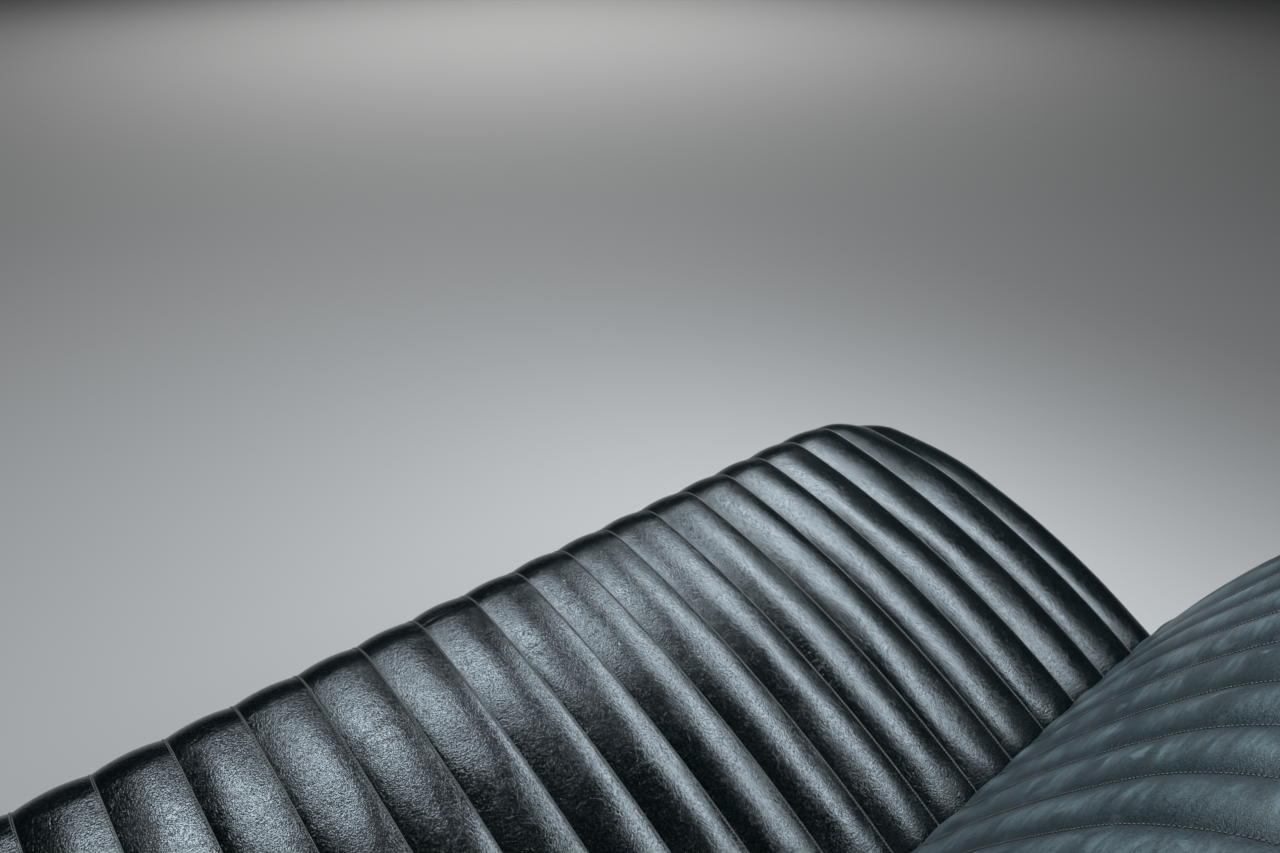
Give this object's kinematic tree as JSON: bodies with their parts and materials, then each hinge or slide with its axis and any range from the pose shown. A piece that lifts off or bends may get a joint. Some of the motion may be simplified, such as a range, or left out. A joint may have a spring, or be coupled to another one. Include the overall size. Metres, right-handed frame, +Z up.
{
  "type": "front bench seat",
  "caption": "Car front bench seat with a pleated black cushion and back, zigzag springs, steel frame, floor tracks and an adjuster lever.",
  "frame": {"origin": "on the floor, below the middle of the seat's outline", "axes": "+Z up, +X along the bench towards the seat's left-hand side, -Y the way the seat faces"},
  "size_m": [1.5066, 0.7965, 0.5905],
  "materials": {
    "pleated_cover": "black pleated cover, satin, fine grain, soft creases",
    "plain_cover": "black plain cover, satin",
    "welt_cord": "black covered cord, satin",
    "spring_steel": "thin black dip on spring wire",
    "frame_paint": "dark grey paint, semi-matt",
    "track_steel": "worn plated steel",
    "knob": "black moulded knob"
  },
  "bodies": {
    "floor_tracks": {"floor_foot_front_left": "frame_paint", "floor_foot_front_right": "frame_paint", "floor_foot_rear_left": "frame_paint", "floor_foot_rear_right": "frame_paint", "lower_rail_left": "track_steel", "lower_rail_right": "track_steel"},
    "seat": {"adjuster_knob": "knob", "adjuster_lever": "track_steel", "adjuster_pawl_left": "track_steel", "adjuster_pawl_right": "track_steel", "adjuster_shaft": "track_steel", "back_bracket_centre": "frame_paint", "back_bracket_left": "frame_paint", "back_bracket_right": "frame_paint", "back_end_left": "plain_cover", "back_end_right": "plain_cover", "back_rear_panel": "plain_cover", "back_welt_left": "welt_cord", "back_welt_right": "welt_cord", "cushion_end_left": "plain_cover", "cushion_end_right": "plain_cover", "cushion_spring_1": "spring_steel", "cushion_spring_10": "spring_steel", "cushion_spring_11": "spring_steel", "cushion_spring_2": "spring_steel", "cushion_spring_3": "spring_steel", "cushion_spring_4": "spring_steel", "cushion_spring_5": "spring_steel", "cushion_spring_6": "spring_steel", "cushion_spring_7": "spring_steel", "cushion_spring_8": "spring_steel", "cushion_spring_9": "spring_steel", "cushion_welt_left": "welt_cord", "cushion_welt_right": "welt_cord", "frame_bar_left": "frame_paint", "frame_bar_right": "frame_paint", "frame_front_rail": "frame_paint", "frame_rear_rail": "frame_paint", "frame_side_rail_left": "frame_paint", "frame_side_rail_right": "frame_paint", "rollers_front_left": "track_steel", "rollers_front_right": "track_steel", "rollers_rear_left": "track_steel", "rollers_rear_right": "track_steel", "seat_back": "pleated_cover", "seat_cushion": "pleated_cover", "slider_left": "track_steel", "slider_right": "track_steel"}
  },
  "joints": [
    {"name": "seat_slide", "type": "slide", "parent": "floor_tracks", "child": "seat", "axis": [0, -1, 0], "range_m": [-0.06, 0.06]}
  ]
}
